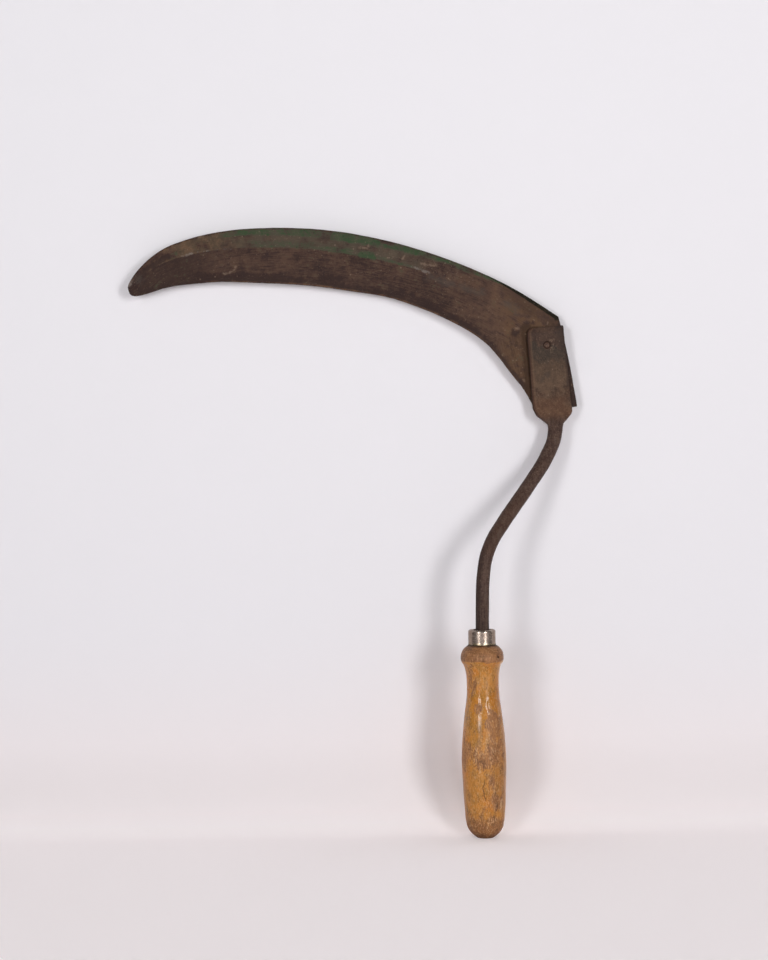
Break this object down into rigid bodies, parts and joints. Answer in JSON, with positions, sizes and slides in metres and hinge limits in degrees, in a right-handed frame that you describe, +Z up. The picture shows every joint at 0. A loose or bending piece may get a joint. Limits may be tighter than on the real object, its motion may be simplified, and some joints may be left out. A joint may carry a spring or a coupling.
{
  "type": "hand sickle",
  "caption": "Hand sickle: broad rusty crescent blade riveted to a cranked forged shank, set in a turned wooden handle with a plated ferrule.",
  "frame": {"origin": "centre of the handle's flat butt", "axes": "+Z up the handle's axis towards the blade; the blade sweeps towards -X and its flat rear face looks along +Y"},
  "size_m": [0.3324, 0.0682, 0.4454],
  "materials": {
    "blade_steel": "rusted dark brown, remains of green paint along the back",
    "shank_steel": "forged, dark brown rust",
    "rivet_steel": "rusted",
    "ferrule_plate": "worn nickel plate",
    "handle_wood": "worn clear varnish"
  },
  "bodies": {
    "root": {"blade": "blade_steel", "shank": "shank_steel", "rivet_upper": "rivet_steel", "rivet_lower": "rivet_steel", "ferrule": "ferrule_plate", "handle": "handle_wood"}
  },
  "joints": []
}
